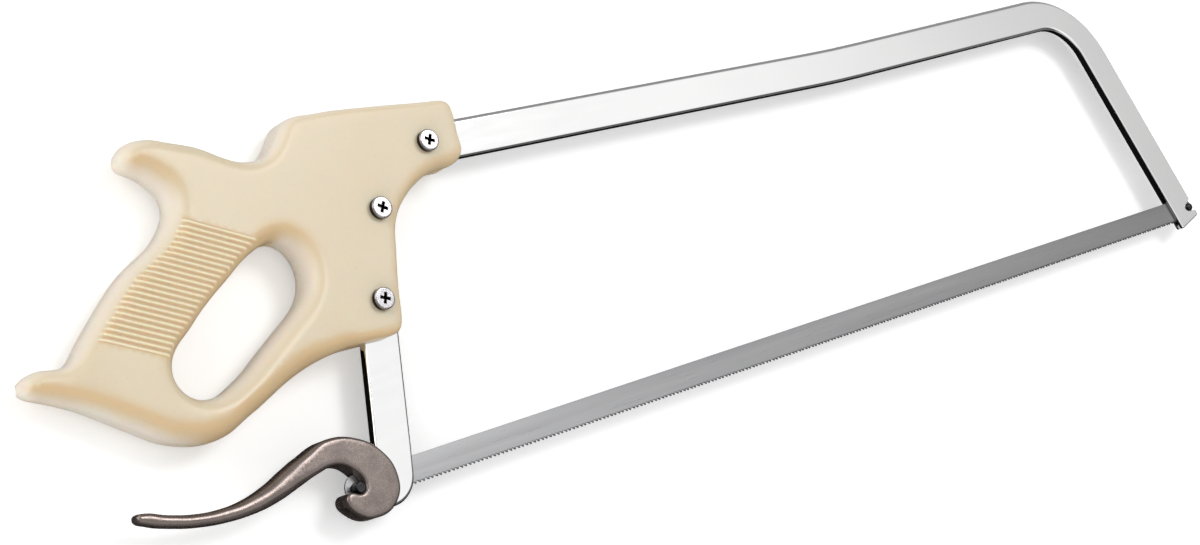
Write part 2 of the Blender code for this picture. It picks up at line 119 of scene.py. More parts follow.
def smoothLoop(knots, spacing, passes):
    # a closed curve through the knots (x, y, edge round), read back at an even spacing
    deselectAll()
    bpy.ops.curve.primitive_bezier_circle_add(radius=1.0)
    spline = bpy.context.object.data.splines[0]
    spline.bezier_points.add(len(knots) - len(spline.bezier_points))
    for point, knot in zip(spline.bezier_points, knots):
        point.co = (knot[0], knot[1], 0)
        point.handle_left_type = point.handle_right_type = "AUTO"
    steps = 24
    spline.resolution_u = steps
    bpy.ops.object.convert(target="MESH")
    curve = bpy.context.object
    fine = np.array([v.co.xy for v in curve.data.vertices])
    bpy.data.objects.remove(curve)
    blend = np.tile(np.arange(steps) / steps, len(knots))
    blend = blend * blend * (3 - 2 * blend)
    rounds = np.repeat([k[2] for k in knots], steps) * (1 - blend)
    rounds += np.repeat(np.roll([k[2] for k in knots], -1), steps) * blend
    fine = np.column_stack([fine, rounds])
    x, y = fine[:, 0], fine[:, 1]
    if np.sum(x * np.roll(y, -1) - np.roll(x, -1) * y) < 0:
        fine = fine[::-1]
    closed = np.vstack([fine, fine[:1]])
    travel = np.concatenate([[0], np.cumsum(np.hypot(*np.diff(closed[:, :2], axis=0).T))])
    stops = np.linspace(0, travel[-1], round(travel[-1] / spacing), endpoint=False)
    loop = np.column_stack([np.interp(stops, travel, closed[:, k]) for k in range(3)])
    for n in range(2 * passes):
        pull = (np.roll(loop, 1, axis=0) + np.roll(loop, -1, axis=0)) / 2 - loop
        loop = loop + pull * (0.5 if n % 2 == 0 else -0.53)  # ease kinks, then push back out
    return loop


# solids

def plateFrom(name, points, low, high):
    # a flat plate cut to an outline, from a filled circle whose points are moved and extruded
    deselectAll()
    bpy.ops.mesh.primitive_circle_add(vertices=len(points), radius=1.0, fill_type="NGON")
    plate = bpy.context.object
    plate.name = plate.data.name = name
    for vertex, point in zip(plate.data.vertices, points):
        vertex.co = sawPoint(point[0], point[1], low)
    bpy.ops.object.mode_set(mode="EDIT")
    bpy.ops.mesh.select_all(action="SELECT")
    bpy.ops.mesh.extrude_region_move(TRANSFORM_OT_translate={"value": (0, 0, (high - low) * mm)})
    bpy.ops.mesh.select_all(action="SELECT")
    bpy.ops.mesh.normals_make_consistent(inside=False)
    bpy.ops.object.mode_set(mode="OBJECT")
    return plate


def selectEdges(piece, test):
    makeActive(piece)
    bpy.ops.object.mode_set(mode="EDIT")
    bpy.ops.mesh.select_mode(type="EDGE")
    bpy.ops.mesh.select_all(action="DESELECT")
    bpy.ops.object.mode_set(mode="OBJECT")
    points = piece.data.vertices
    for edge in piece.data.edges:
        edge.select = test(points[edge.vertices[0]].co, points[edge.vertices[1]].co)
    bpy.ops.object.mode_set(mode="EDIT")


def roundRims(piece, width, segments):
    selectEdges(piece, lambda a, b: abs(a.z - b.z) < 1e-7)
    bpy.ops.mesh.bevel(offset=width * mm, segments=segments, affect="EDGES", clamp_overlap=False)
    bpy.ops.object.mode_set(mode="OBJECT")


def cutAway(piece, *cutters):
    for cutter in cutters:
        makeActive(piece)
        cut = piece.modifiers.new("cut", "BOOLEAN")
        cut.operation = "DIFFERENCE"
        cut.solver = "EXACT"
        cut.object = cutter
        bpy.ops.object.modifier_apply(modifier=cut.name)
        bpy.data.objects.remove(cutter)


def smoothStep(value):
    value = np.clip(value, 0, 1)
    return value * value * (3 - 2 * value)


def rimDistance(points, loops):
    # distance of each point from the nearest rim, and the edge round and way inward of that rim
    start = np.vstack(loops)
    stop = np.vstack([np.roll(loop, -1, axis=0) for loop in loops])
    run = stop[:, :2] - start[:, :2]
    length = np.maximum((run ** 2).sum(1), 1e-12)
    distance, traits = [], []
    for part in np.array_split(points, max(1, len(points) // 3000)):
        apart = part[:, None, :] - start[None, :, :2]
        along = np.clip((apart * run).sum(2) / length, 0, 1)
        reach = np.hypot(*np.moveaxis(apart - along[:, :, None] * run, 2, 0))
        near = reach.argmin(1)
        row = np.arange(len(part))
        distance.append(reach[row, near])
        traits.append(start[near, 2:] + (stop[near, 2:] - start[near, 2:]) * along[row, near][:, None])
    return np.concatenate(distance), np.concatenate(traits)


def insideLoops(points, loops):
    inside = np.zeros(len(points), bool)
    for loop in loops:
        for a, b in zip(loop, np.roll(loop, -1, axis=0)):
            crosses = (a[1] > points[:, 1]) != (b[1] > points[:, 1])
            if crosses.any():
                edgeX = a[0] + (b[0] - a[0]) * (points[:, 1] - a[1]) / (b[1] - a[1])
                inside ^= crosses & (points[:, 0] < edgeX)
    return inside


# painted shade and painted sheen across the rounded rims, as shares of the round's width and of the way that
# the rim faces
paintedLightForm = {
    "bandMiddle": 0.8, "bandWidth": 0.5, "downShare": 0.95, "downFrom": -0.2, "downRun": 1.2,
    "paleLean": 0.3, "paleFrom": -0.35, "paleRun": 0.7, "paleTop": 1.1, "paleReach": 0.6, "paleLess": 0.25,
    "frontStart": -30, "frontRun": 25, "frontLoss": 0.32,
}


def pillowSolid(name, loops, corner, spacing, heightAt, fullness=1.0, ridges=None, ridgePoints=None):
    # a moulded form: one face is triangulated, raised by its distance from the rim, and mirrored
    for index, loop in enumerate(loops):
        along = np.roll(loop, -1, axis=0)[:, :2] - np.roll(loop, 1, axis=0)[:, :2]
        inward = np.column_stack([-along[:, 1], along[:, 0]]) / np.hypot(*along.T)[:, None]
        loops[index] = np.column_stack([loop, inward if index == 0 else -inward])
    rims = np.vstack(loops)
    field = []
    for angle in (9, 20, 32, 45, 58, 72, 88):
        inset = rims[:, 2] * (1 - math.cos(math.radians(angle)))
        ring = rims[:, :2] + rims[:, 3:] * inset[:, None]
        depth = rimDistance(ring, loops)[0]
        field.append(ring[depth > inset * 0.98])
    low, high = rims[:, :2].min(0), rims[:, :2].max(0)
    columns, rows = np.meshgrid(np.arange(low[0], high[0], spacing),
                                np.arange(low[1], high[1], spacing * 0.87))
    columns[1::2] += spacing / 2
    grid = np.column_stack([columns.ravel(), rows.ravel()])
    grid = grid[insideLoops(grid, loops)]
    depth, traits = rimDistance(grid, loops)
    field.append(grid[depth > traits[:, 0] + 0.4 * spacing])
    field = np.vstack(field)
    if ridgePoints is not None:
        keep = ridgePoints[insideLoops(ridgePoints, loops)]
        keep = keep[rimDistance(keep, loops)[0] > 1.0]
        field = np.vstack([field[ridges(field)[1] < 0.01], keep])
    first, edges = 0, []
    for loop in loops:
        edges += [(first + n, first + (n + 1) % len(loop)) for n in range(len(loop))]
        first += len(loop)
    flat = np.vstack([rims[:, :2], field])
    points, _, faces, _, _, _ = delaunay_2d_cdt([Vector(p) for p in flat], edges, [], 4, 1e-4)
    flat = np.array([p[:] for p in points])
    middles = np.array([flat[list(face)].mean(0) for face in faces])
    faces = [face for face, kept in zip(faces, insideLoops(middles, loops)) if kept]
    depth, traits = rimDistance(flat, loops)
    rounds, inwardX, inwardY = traits.T
    height = heightAt(flat)
    rise = np.minimum(rounds * fullness, height - 0.8)
    slope = 1 - np.clip(depth / rounds, 0, 1)
    top = height - rise + rise * np.sqrt(1 - slope * slope)
    if ridges:
        top += ridges(flat)[0]
    mesh = bpy.data.meshes.new(name)
    mesh.from_pydata([sawPoint(x + corner[0], y + corner[1], z) - Vector((0, 0, sawOrigin.z))
                      for (x, y), z in zip(flat, top)], [], faces)
    # painted warm shade on the roundings that face towards -y and between the ribs, a painted pale sheen on
    # the outer rims, and a painted highlight on the rib crests
    form = paintedLightForm
    facing = inwardY * form["downShare"]
    share = np.clip(depth / rounds, 0, 2)
    paleSide = smoothStep((inwardX - form["paleLean"] * inwardY - form["paleFrom"]) / form["paleRun"])
    band = np.exp(-((share - form["bandMiddle"]) / form["bandWidth"]) ** 2)
    across = np.where(share < form["bandMiddle"], 1 + (band - 1) * paleSide, band)
    tint = smoothStep((facing - form["downFrom"]) / form["downRun"]) * across
    front = smoothStep((flat[:, 0] - form["frontStart"]) / form["frontRun"])
    tint *= 1 - form["frontLoss"] * front  # less painted shade along the handle's front
    # painted sheen: a pale rim colour stands in for the bright sheen along the outer rims
    reach = form["paleReach"] - form["paleLess"] * smoothStep(facing)
    pale = np.clip(form["paleTop"] - share / reach, 0, 1) * paleSide
    crestHighlight = np.zeros(len(flat))
    if ridges:
        # painted shade in the rib valleys and a painted highlight on the rib crests
        tint = np.maximum(tint, ridges(flat)[2])
        crestHighlight = ridges(flat)[3]
    for label, values in (("paintedShade", tint), ("paintedSheen", pale), ("crestHighlight", crestHighlight)):
        layer = mesh.attributes.new(label, "FLOAT", "POINT")
        layer.data.foreach_set("value", values.astype(np.float32))
    solid = bpy.data.objects.new(name, mesh)
    bpy.context.scene.collection.objects.link(solid)
    makeActive(solid)
    bpy.ops.object.mode_set(mode="EDIT")
    bpy.ops.mesh.select_mode(type="EDGE")
    bpy.ops.mesh.select_all(action="DESELECT")
    bpy.ops.mesh.select_non_manifold()
    bpy.ops.mesh.extrude_edges_move()
    bpy.ops.transform.resize(value=(1, 1, 0), center_override=(0, 0, 0))
    bpy.ops.object.mode_set(mode="OBJECT")
    mirror = solid.modifiers.new("mirror", "MIRROR")
    mirror.use_axis = (False, False, True)
    mirror.merge_threshold = 0.00001
    bpy.ops.object.modifier_apply(modifier=mirror.name)
    bpy.ops.object.mode_set(mode="EDIT")
    bpy.ops.mesh.select_all(action="SELECT")
    bpy.ops.mesh.normals_make_consistent(inside=False)
    bpy.ops.transform.translate(value=(0, 0, sawOrigin.z))
    bpy.ops.object.mode_set(mode="OBJECT")
    return solid


def finishPiece(piece, body, node, material, angle=40, flatFaces=False):
    makeActive(piece)
    bpy.ops.object.shade_smooth_by_angle(angle=math.radians(angle))
    if flatFaces:
        # broad faces stay flat right up to their rounded edges
        even = piece.modifiers.new("even", "WEIGHTED_NORMAL")
        even.keep_sharp = True
        bpy.ops.object.modifier_apply(modifier=even.name)
    piece.data.materials.clear()
    piece.data.materials.append(material)
    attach(piece, body)
    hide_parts(node)
    print(node, len(piece.data.polygons), "faces")


# node helpers

def addNode(tree, kind, inputs=None, **settings):
    node = tree.nodes.new(kind)
    for name, value in settings.items():
        setattr(node, name, value)
    for name, value in (inputs or {}).items():
        node.inputs[name].default_value = value
    return node


def newMaterial(name, inputs):
    material = bpy.data.materials.new(name)
    material.use_nodes = True
    shader = material.node_tree.nodes["Principled BSDF"]
    for socket, value in inputs.items():
        shader.inputs[socket].default_value = value
    return material, material.node_tree, shader


def newGroup(name, inputs, outputs):
    group = bpy.data.node_groups.new(name, "ShaderNodeTree")
    for label, kind, value in inputs:
        socket = group.interface.new_socket(label, in_out="INPUT", socket_type="NodeSocket" + kind)
        if value is not None:
            socket.default_value = value
    for label, kind in outputs:
        group.interface.new_socket(label, in_out="OUTPUT", socket_type="NodeSocket" + kind)
    return group, group.nodes.new("NodeGroupInput"), group.nodes.new("NodeGroupOutput")


def useGroup(tree, group, inputs):
    node = tree.nodes.new("ShaderNodeGroup")
    node.node_tree = group
    for name, value in inputs.items():
        node.inputs[name].default_value = value
    return node


def mixColours(tree, factor, first, second):
    node = addNode(tree, "ShaderNodeMix", data_type="RGBA")
    for index, value in ((0, factor), (6, first), (7, second)):
        if hasattr(value, "links"):
            tree.links.new(value, node.inputs[index])
        else:
            node.inputs[index].default_value = value
    return node.outputs[2]


def rampOf(tree, value, low, high, bottom=0.0, top=1.0, kind="LINEAR"):
    limits = {"From Min": low, "From Max": high, "To Min": bottom, "To Max": top}
    node = addNode(tree, "ShaderNodeMapRange", limits, interpolation_type=kind)
    tree.links.new(value, node.inputs["Value"])
    return node.outputs["Result"]


def combine(tree, operation, first, second):
    node = addNode(tree, "ShaderNodeMath", operation=operation)
    tree.links.new(first, node.inputs[0])
    tree.links.new(second, node.inputs[1])
    return node.outputs[0]


def grainGroup():
    # fine speckle for roughness and bump
    group, inside, outside = newGroup(
        "surfaceGrain",
        [("Vector", "Vector", None), ("Scale", "Float", 900.0),
         ("Low", "Float", 0.3), ("High", "Float", 0.5)],
        [("Roughness", "Float"), ("Height", "Float")])
    fine = addNode(group, "ShaderNodeTexNoise", {"Detail": 4.0, "Roughness": 0.6})
    group.links.new(inside.outputs["Vector"], fine.inputs["Vector"])
    group.links.new(inside.outputs["Scale"], fine.inputs["Scale"])
    spread = addNode(group, "ShaderNodeMapRange", {"From Min": 0.3, "From Max": 0.7})
    group.links.new(fine.outputs["Fac"], spread.inputs["Value"])
    group.links.new(inside.outputs["Low"], spread.inputs["To Min"])
    group.links.new(inside.outputs["High"], spread.inputs["To Max"])
    group.links.new(spread.outputs["Result"], outside.inputs["Roughness"])
    group.links.new(fine.outputs["Fac"], outside.inputs["Height"])
    return group


def marksGroup():
    # soft blotches left by handling and by the moulding or plating bath
    group, inside, outside = newGroup(
        "handlingMarks",
        [("Vector", "Vector", None), ("Scale", "Float", 20.0), ("Contrast", "Float", 0.5)],
        [("Mask", "Float")])
    blotch = addNode(group, "ShaderNodeTexNoise", {"Detail": 5.0, "Roughness": 0.55, "Distortion": 0.6})
    group.links.new(inside.outputs["Vector"], blotch.inputs["Vector"])
    group.links.new(inside.outputs["Scale"], blotch.inputs["Scale"])
    centred = addNode(group, "ShaderNodeMath", {1: 0.5}, operation="SUBTRACT")
    scaled = addNode(group, "ShaderNodeMath", operation="MULTIPLY_ADD", use_clamp=True)
    scaled.inputs[2].default_value = 0.5
    group.links.new(blotch.outputs["Fac"], centred.inputs[0])
    group.links.new(centred.outputs[0], scaled.inputs[0])
    group.links.new(inside.outputs["Contrast"], scaled.inputs[1])
    group.links.new(scaled.outputs[0], outside.inputs["Mask"])
    return group


surfaceGrain = grainGroup()
handlingMarks = marksGroup()


def objectVector(tree, stretch=(1, 1, 1)):
    place = addNode(tree, "ShaderNodeTexCoord")
    mapping = addNode(tree, "ShaderNodeMapping", {"Scale": stretch})
    tree.links.new(place.outputs["Object"], mapping.inputs["Vector"])
    return mapping.outputs["Vector"]


def addBump(tree, shader, height, strength, distance):
    bump = addNode(tree, "ShaderNodeBump", {"Strength": strength, "Distance": distance})
    tree.links.new(height, bump.inputs["Height"])
    tree.links.new(bump.outputs["Normal"], shader.inputs["Normal"])


def addMarks(tree, vector, scale, contrast):
    marks = useGroup(tree, handlingMarks, {"Scale": scale, "Contrast": contrast})
    tree.links.new(vector, marks.inputs["Vector"])
    return marks.outputs["Mask"]


def addGrain(tree, shader, vector, scale, low, high):
    grain = useGroup(tree, surfaceGrain, {"Scale": scale, "Low": low, "High": high})
    tree.links.new(vector, grain.inputs["Vector"])
    tree.links.new(grain.outputs["Roughness"], shader.inputs["Roughness"])
    return grain.outputs["Height"]


def ivoryPlastic():
    look = {
        "pale": (0.745, 0.655, 0.49, 1), "deep": (0.705, 0.60, 0.425, 1),
        # warm is the painted shade tone, rim the painted sheen tone, crest the painted highlight tone
        "warm": (0.67, 0.46, 0.225, 1), "rim": (0.88, 0.82, 0.74, 1), "crestHighlight": (1.0, 0.87, 0.61, 1),
    }
    material, tree, shader = newMaterial("ivoryPlastic", {
        "Subsurface Weight": 0.6, "Subsurface Radius": (1.0, 0.6, 0.35), "Subsurface Scale": 0.007,
        "IOR": 1.48, "Specular IOR Level": 0.42})
    vector = objectVector(tree)
    body = mixColours(tree, addMarks(tree, vector, 14.0, 1.2), look["deep"], look["pale"])
    # painted shade, painted sheen and painted crest highlight laid over the body tone from the mesh
    # attributes
    for label, amount, tone in (("paintedShade", 0.7, look["warm"]), ("paintedSheen", 0.75, look["rim"]),
                                ("crestHighlight", 1.0, look["crestHighlight"])):
        layer = addNode(tree, "ShaderNodeAttribute", attribute_name=label)
        share = addNode(tree, "ShaderNodeMath", {1: amount}, operation="MULTIPLY", use_clamp=True)
        tree.links.new(layer.outputs["Fac"], share.inputs[0])
        body = mixColours(tree, share.outputs[0], body, tone)
    tree.links.new(body, shader.inputs["Base Color"])
    addBump(tree, shader, addGrain(tree, shader, vector, 700.0, 0.26, 0.36), 0.25, 0.00008)
    return material


def chromePlate():
    material, tree, shader = newMaterial("chromePlate", {"Metallic": 1.0})
    smear = addMarks(tree, objectVector(tree), 9.0, 1.6)
    tone = mixColours(tree, smear, (0.86, 0.86, 0.86, 1), (0.93, 0.93, 0.925, 1))
    tree.links.new(tone, shader.inputs["Base Color"])
    addGrain(tree, shader, objectVector(tree, (0.12, 1, 1)), 300.0, 0.05, 0.11)
    addBump(tree, shader, smear, 0.04, 0.0004)
    return material


bladeForm = {
    "width": 12.7, "thickness": 0.8, "endReach": 5.2, "toothPitch": 2.4, "toothDepth": 1.5,
    "toothLean": 0.7, "toothlessEnd": 9.0, "toothSet": 0.18, "setLine": 0.15, "paintedToothShade": (1.5, 0.5),
}


def bladeSteel():
    material, tree, shader = newMaterial("bladeSteel", {"Metallic": 1.0})
    rolled = addMarks(tree, objectVector(tree, (0.03, 1, 1)), 60.0, 2.2)
    tone = mixColours(tree, rolled, (0.26, 0.26, 0.265, 1), (0.36, 0.36, 0.365, 1))
    axes = addNode(tree, "ShaderNodeSeparateXYZ")
    tree.links.new(objectVector(tree), axes.inputs[0])
    edge = sawOrigin.y - bladeForm["width"] / 2 * mm
    # painted shade: the teeth darkened towards their tips to stand in for the shade among them
    start, full = bladeForm["paintedToothShade"]
    band = rampOf(tree, axes.outputs["Y"], edge + start * mm, edge + full * mm, 0.0, 0.9)
    paintedToothShade = mixColours(tree, band, tone, (0.07, 0.07, 0.075, 1))
    tree.links.new(paintedToothShade, shader.inputs["Base Color"])
    lines = addGrain(tree, shader, objectVector(tree, (0.02, 1, 1)), 1500.0, 0.26, 0.42)
    addBump(tree, shader, lines, 0.2, 0.00003)
    return material


def leverCasting():
    material, tree, shader = newMaterial("leverCasting", {"Metallic": 0.8})
    vector = objectVector(tree)
    mottle = addMarks(tree, vector, 110.0, 2.4)
    tone = mixColours(tree, mottle, (0.17, 0.138, 0.128, 1), (0.235, 0.195, 0.178, 1))
    tree.links.new(tone, shader.inputs["Base Color"])
    addBump(tree, shader, addGrain(tree, shader, vector, 900.0, 0.2, 0.32), 0.2, 0.0001)
    return material


def nickelPlate(name, dark, pale):
    material, tree, shader = newMaterial(name, {"Metallic": 1.0})
    vector = objectVector(tree)
    tone = mixColours(tree, addMarks(tree, vector, 120.0, 1.8), dark, pale)
    tree.links.new(tone, shader.inputs["Base Color"])
    addBump(tree, shader, addGrain(tree, shader, vector, 1200.0, 0.14, 0.26), 0.12, 0.00004)
    return material


chrome = chromePlate()
ivory = ivoryPlastic()
steel = bladeSteel()
casting = leverCasting()
screwNickel = nickelPlate("screwNickel", (0.36, 0.345, 0.36, 1), (0.48, 0.465, 0.48, 1))
pinSteel = nickelPlate("pinSteel", (0.025, 0.025, 0.027, 1), (0.06, 0.06, 0.062, 1))
# near-black painted shade for the screw recesses and the sides of the heads
paintedRecessShade = nickelPlate("paintedRecessShade", (0.012, 0.011, 0.011, 1), (0.04, 0.038, 0.037, 1))
print("materials ready")


# frame bar

barForm = {
    "middleLine": [(-3.47, -13.6), (36.4, 142.8), (347.97, 133.72), (550.16, 135.41), (592.85, -8.7)],
    "width": 19.05, "thickness": 5.2, "edgeRound": 2.2, "crispRound": 0.9,
    "outerRounds": [2.8, 34, 909.5, 57, 1.6], "innerRounds": [15, 12, 890.5, 29, 1.6],
    "longestRun": 12.0, "slotReach": (30, 20), "notchFlare": 30, "notchTurn": (128, 270), "notchReach": 20,
    # where the edges turn crisp: a place and the run over which they change
    "railEnd": (565, 45), "rearBend": (80, 30), "rearFoot": (6, 10),
    "rearArmEnd": 60, "armSlope": 0.255, "innerShare": 0.6,
}
pinForm = {"diameter": 4.76, "frontLength": 8.6, "rearLength": 11.2, "frontDome": 1.5, "rearDome": 0.5}
gap = 0.3
slack = 0.4  # room beside what slides


def roundBar(name, x, y, radius, low, high, sides=32):
    return plateFrom(name, arcPoints(x, y, radius, 0, 360 * (1 - 1 / sides), 360 / sides), low, high)


def roundBarEdges(bar):
    # well rounded along the rail and around the rear foot, crisper on the two arms
    weights = bar.data.attributes.new("bevel_weight_edge", "FLOAT", "EDGE")
    least = barForm["crispRound"] / barForm["edgeRound"]
    railEnd, railRun = barForm["railEnd"]
    bendLow, bendRun = barForm["rearBend"]
    footTop, footRun = barForm["rearFoot"]
    for edge in bar.data.edges:
        a, b = (bar.data.vertices[n].co for n in edge.vertices)
        if abs(a.z - b.z) < 1e-7:
            along, high = ((a + b) / 2 - sawOrigin).xy / mm
            full = smoothStep((railEnd - along) / railRun)
            if along < barForm["rearArmEnd"]:
                inner = barForm["innerShare"] if along > barForm["armSlope"] * high else 0.0
                bend, foot = smoothStep((high - bendLow) / bendRun), smoothStep((footTop - high) / footRun)
                full = max(bend, foot, inner)
            weights.data[edge.index].value = least + (1 - least) * full
    makeActive(bar)
    rounding = bar.modifiers.new("rounding", "BEVEL")
    rounding.limit_method = "WEIGHT"
    rounding.width = barForm["edgeRound"] * mm
    rounding.segments = 6
    rounding.use_clamp_overlap = False
    bpy.ops.object.modifier_apply(modifier=rounding.name)


def makeFrameBar():
    half = barForm["width"] / 2
    corners = offsetLine(barForm["middleLine"], half) + offsetLine(barForm["middleLine"], -half)[::-1]
    outline = roundCorners(corners, barForm["outerRounds"] + barForm["innerRounds"][::-1])
    deep = barForm["thickness"] / 2
    bar = plateFrom("frameBar", splitLong(outline, barForm["longestRun"]), -deep, deep)
    roundBarEdges(bar)
    slotHalf = bladeForm["thickness"] / 2 + gap
    slotTop = bladeForm["width"] / 2 + slack
    aside, below = barForm["slotReach"]
    for x, y in (barForm["middleLine"][0], barForm["middleLine"][-1]):
        slot = [(x - aside, y - below), (x + aside, y - below), (x + aside, slotTop), (x - aside, slotTop)]
        cutAway(bar, plateFrom("bladeSlot", slot, -slotHalf, slotHalf))
    seat = pinForm["diameter"] / 2 + gap
    x, y = frontPin["x"], frontPin["y"]
    flare = math.radians(barForm["notchFlare"])
    reach = barForm["notchReach"]
    notch = arcPoints(x, y, seat, *barForm["notchTurn"]) + [(x + reach, y - seat)]
    notch.append((x + reach * math.cos(flare) - seat * math.sin(flare),
                  y + reach * math.sin(flare) + seat * math.cos(flare)))
    cutAway(bar, plateFrom("pinNotch", notch, -6, 6))
    finishPiece(bar, "frame", "frame_bar", chrome, 35, True)


# handle

handleForm = {
    "corner": (36.4, 142.8), "thickness": 22.0, "gridSpacing": 2.4, "rimSpacing": 2.0, "fullness": 1.35,
    "outline": [
        (-36.8, 22.6, 4.5), (-22.0, 23.4, 4.0), (8.0, 21.1, 3.5), (36.0, 18.1, 3.5), (44.6, 17.2, 3.3),
        (50.6, 15.3, 3.0), (51.8, 8.7, 3.0), (50.7, -1.9, 3.0), (50.0, -9.4, 3.2), (44.9, -13.6, 4.2),
        (34.6, -14.4, 4.8), (24.7, -16.9, 4.6), (10.3, -25.1, 4.0), (1.9, -34.5, 3.3), (-2.7, -46.6, 3.0),
        (-8.7, -65.7, 3.0), (-11.5, -76.5, 3.0), (-14.6, -81.8, 2.8), (-21.0, -82.9, 2.8),
        (-31.0, -82.5, 3.4), (-47.6, -83.0, 5.4),
        (-67.5, -86.9, 7.5), (-96.9, -98.4, 7.5), (-115.3, -104.4, 7.5), (-135.2, -100.7, 7.0),
        (-153.6, -88.5, 6.5), (-170.9, -76.4, 6.2), (-186.2, -68.4, 5.8), (-192.4, -65.1, 5.6),
        (-194.1, -60.8, 5.4), (-187.0, -56.5, 5.4), (-172.0, -57.1, 5.8), (-161.4, -48.1, 7.0),
        (-137.5, -27.9, 8.5), (-110.3, -11.2, 8.5), (-104.2, -0.1, 8.0), (-110.8, 11.7, 7.0),
        (-119.9, 19.6, 6.5), (-117.2, 26.0, 6.5), (-107.3, 28.4, 7.0), (-95.0, 24.7, 7.0),
        (-84.4, 20.7, 7.0), (-62.5, 9.0, 6.0), (-51.5, 9.5, 5.0), (-43.6, 15.9, 4.8)],
    "hole": [
        (-113.4, -86.7, 7.0), (-124.1, -82.4, 6.5), (-127.6, -72.5, 6.0), (-123.1, -63.4, 5.2),
        (-114.7, -57.0, 4.8), (-106.6, -50.7, 4.6), (-89.4, -39.9, 4.6), (-72.6, -30.8, 5.0),
        (-59.2, -28.8, 6.5), (-51.8, -35.0, 7.0), (-50.0, -44.2, 7.0), (-52.8, -52.2, 7.0),
        (-58.8, -58.6, 7.0), (-67.8, -64.4, 7.0), (-78.5, -70.9, 7.0), (-98.8, -82.7, 7.0)],
    # thinner ends: where they begin, the run, the side they lie on and how much comes off each face
    "tail": (-150, 46, -35, 3.0), "horn": (-94, 30, 0, 1.6), "slotOpening": 19,
}
ribForm = {
    "count": 24, "height": 1.0, "firstStart": (-100.6, -12.2), "firstEnd": (-73.8, -25.8),
    "lastStart": (-155.2, -52.2), "width": 0.54, "rimGap": 4.2, "lipGap": 3.0,
    "rimFade": 1.6, "lipFade": 1.2, "overrun": 6, "valleyShade": 0.9,
}


def handleHeight(points):
    x, y = points[:, 0], points[:, 1]
    tailStart, tailRun, tailTop, tailLoss = handleForm["tail"]
    hornStart, hornRun, hornFoot, hornLoss = handleForm["horn"]
    tail = smoothStep((tailStart - x) / tailRun) * (y < tailTop)
    horn = smoothStep((hornStart - x) / hornRun) * (y > hornFoot)
    return handleForm["thickness"] / 2 - tailLoss * tail - hornLoss * horn


def ribPlace(points):
    # row number down the grip and distance across it
    start, end = np.array(ribForm["firstStart"]), np.array(ribForm["lastStart"])
    across = np.array(ribForm["firstEnd"]) - start
    across = across / np.hypot(*across)
    down = end - start
    rel = points - start
    step = (rel[:, 0] * across[1] - rel[:, 1] * across[0]) / (down[0] * across[1] - down[1] * across[0])
    shift = rel @ across - step * (down @ across)
    return step * (ribForm["count"] - 1), shift


def makeHandle():
    rim = smoothLoop(handleForm["outline"], handleForm["rimSpacing"], 9)
    hole = smoothLoop(handleForm["hole"], handleForm["rimSpacing"], 30)
    loops = [rim, hole]
    length = np.hypot(*(np.array(ribForm["firstEnd"]) - ribForm["firstStart"]))

    def gripRibs(points):
        row, shift = ribPlace(points)
        phase = row - np.round(row)
        ridge = np.clip(1 - (phase / (ribForm["width"] / 2)) ** 2, 0, 1)
        outer = smoothStep((rimDistance(points, [rim])[0] - ribForm["rimGap"]) / ribForm["rimFade"])
        inner = smoothStep((rimDistance(points, [hole])[0] - ribForm["lipGap"]) / ribForm["lipFade"])
        panel = (row > -0.6) & (row < ribForm["count"] - 0.4)
        panel &= (shift > -ribForm["overrun"]) & (shift < length + ribForm["overrun"])
        fade = outer * inner * panel
        # painted shade in the valleys between the ribs, painted highlight on their crests
        valley = ribForm["valleyShade"] * fade * (1 - ridge)
        return ribForm["height"] * ridge * fade, fade, valley, fade * ridge

    start, end = np.array(ribForm["firstStart"]), np.array(ribForm["lastStart"])
    across = (np.array(ribForm["firstEnd"]) - start) / length
    lattice = []
    for row in np.arange(ribForm["count"]):
        for phase in (-0.5, -0.27, -0.2, -0.1, 0.0, 0.1, 0.2, 0.27):
            place = start + (end - start) * (row + phase) / (ribForm["count"] - 1)
            lattice += [place + across * step for step in np.arange(-5.5, length + 6, 1.3)]
    lattice = np.array(lattice)
    lattice = lattice[gripRibs(lattice)[1] > 0.005]
    handle = pillowSolid("gripHandle", loops, handleForm["corner"], handleForm["gridSpacing"],
                         handleHeight, handleForm["fullness"], gripRibs, lattice)
    grown = barForm["width"] / 2 + gap
    line = barForm["middleLine"][:3]
    # open towards the blade
    corners = offsetLine(line, grown) + offsetLine(line, -grown - handleForm["slotOpening"])[::-1]
    outer, inner = barForm["outerRounds"][1] + gap, barForm["innerRounds"][1]
    slot = roundCorners(corners, [gap, outer, gap, gap, inner, gap])
    deep = barForm["thickness"] / 2 + gap
    cutAway(handle, plateFrom("barSlot", slot, -deep, deep))
    finishPiece(handle, "frame", "handle", ivory, 50)


# tension lever

